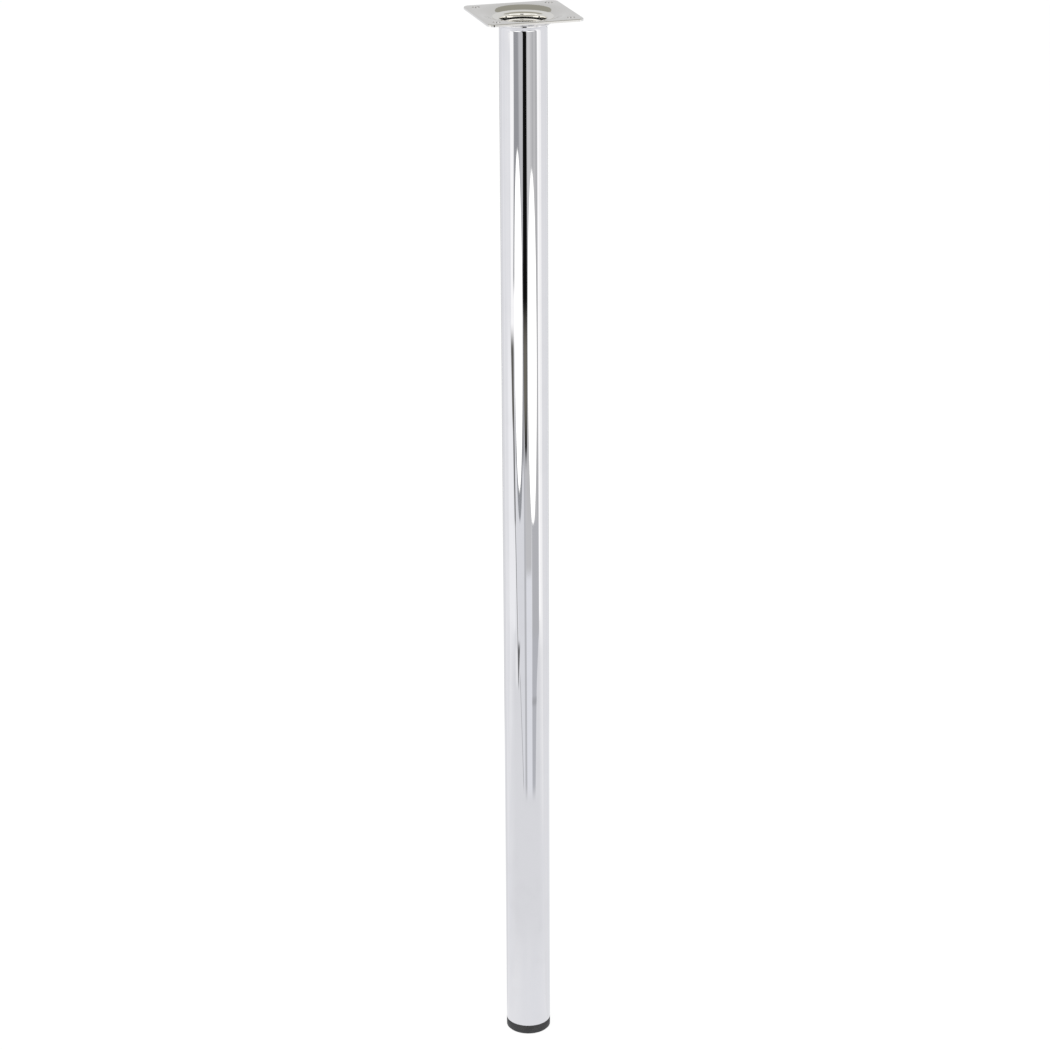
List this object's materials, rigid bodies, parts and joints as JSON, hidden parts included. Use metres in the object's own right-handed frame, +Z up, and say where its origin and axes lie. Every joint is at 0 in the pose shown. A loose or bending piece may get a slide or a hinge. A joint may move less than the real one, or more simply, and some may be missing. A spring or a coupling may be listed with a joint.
{
  "type": "furniture leg",
  "caption": "Straight round furniture leg with a square dished mounting plate crimped to its top and a plastic glide in its foot.",
  "frame": {"origin": "centre of the glide's underside, where the leg's axis meets the floor", "axes": "+Z up along the leg's axis, from the glide to the mounting plate; +X and +Y along the plate's sides"},
  "size_m": [0.061, 0.061, 0.71],
  "materials": {
    "plate": "bright nickel plated sheet steel",
    "tube": "polished chrome plated steel tube",
    "glide": "black moulded plastic, satin"
  },
  "bodies": {
    "root": {"mounting_plate": "plate", "leg_tube": "tube", "foot_glide": "glide"}
  },
  "joints": []
}
